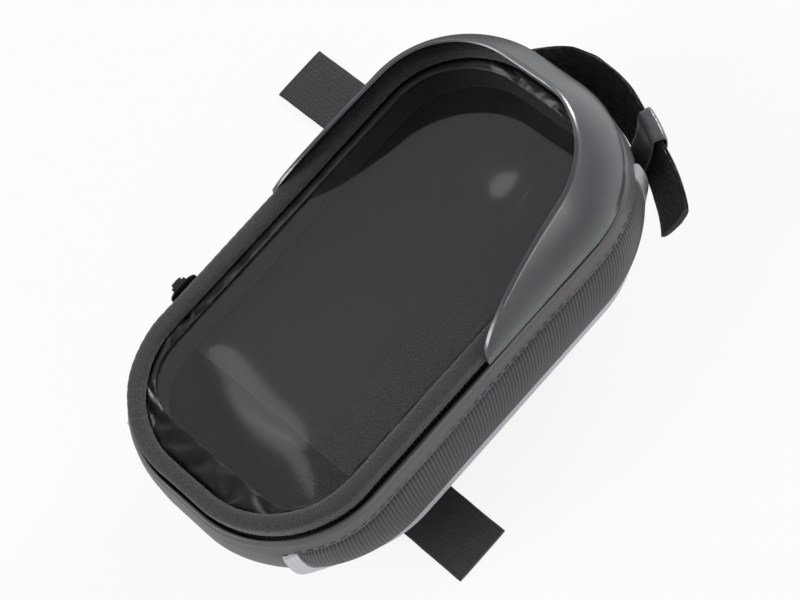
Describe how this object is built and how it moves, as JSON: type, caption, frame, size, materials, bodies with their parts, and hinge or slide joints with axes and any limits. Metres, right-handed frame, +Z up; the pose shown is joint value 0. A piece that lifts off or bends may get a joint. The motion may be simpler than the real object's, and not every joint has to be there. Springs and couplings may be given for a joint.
{
  "type": "top tube phone bag",
  "caption": "Small soft-shell bicycle bag with a zipped lid, a clear phone window, a crescent sun visor and strap mounts for a top tube.",
  "frame": {"origin": "middle of the base, on the underside of the middle grip pad", "axes": "+Z up, +Y along the bag towards the stem, +X to the rider's right"},
  "size_m": [0.159, 0.1781, 0.0802],
  "materials": {
    "smooth_pu": "smooth satin polyurethane-coated fabric",
    "gloss_pu": "glossy coated fabric, lightly wrinkled",
    "woven_twill": "fine ribbed coated weave",
    "woven_binding": "woven binding over a soft core",
    "webbing": "hook-and-loop webbing",
    "reflective_tape": "silver reflective tape",
    "clear_film": "clear flexible glossy film",
    "foam": "cloth-lined moulded foam",
    "grip_rubber": "matt ribbed rubber",
    "zip_teeth": "nylon coil",
    "zip_metal": "black enamelled die casting"
  },
  "bodies": {
    "tub": {"body_shell": "foam", "outer_skin": "smooth_pu", "upper_band": "smooth_pu", "side_panel_right": "woven_twill", "side_panel_left": "woven_twill", "piping_right": "reflective_tape", "piping_left": "reflective_tape", "lining_pad": "foam", "zip_chain_body": "zip_teeth", "zip_tape_body": "webbing", "hinge_strip": "smooth_pu", "grip_pad_middle": "grip_rubber", "grip_pad_rear": "grip_rubber", "front_tube_strap": "webbing", "rear_tube_strap": "webbing", "strap_bar_front_left": "webbing", "strap_bar_front_right": "webbing", "strap_bar_rear_left": "webbing", "strap_bar_rear_right": "webbing", "head_strap": "webbing", "strap_keeper": "gloss_pu"},
    "lid": {"lid_roll": "woven_binding", "lid_border": "gloss_pu", "window_film": "clear_film", "lid_foam_frame": "foam", "pocket_panel": "foam", "pocket_strap": "webbing", "visor": "smooth_pu", "zip_chain_lid": "zip_teeth", "zip_tape_lid": "webbing"},
    "slider": {"zip_slider": "zip_metal"},
    "pull": {"zip_pull": "grip_rubber"}
  },
  "joints": [
    {"name": "lid_hinge", "type": "hinge", "parent": "tub", "child": "lid", "pos_m": [0, 0.0827, 0.057], "axis": [-1, 0, 0], "range_deg": [0, 90]},
    {"name": "slider_run", "type": "slide", "parent": "tub", "child": "slider", "axis": [0, 1, 0], "range_m": [-0.008, 0.08]},
    {"name": "pull_swing", "type": "hinge", "parent": "slider", "child": "pull", "pos_m": [-0.048, -0.036, 0.0562], "axis": [0, 1, 0], "range_deg": [0, 100]}
  ]
}
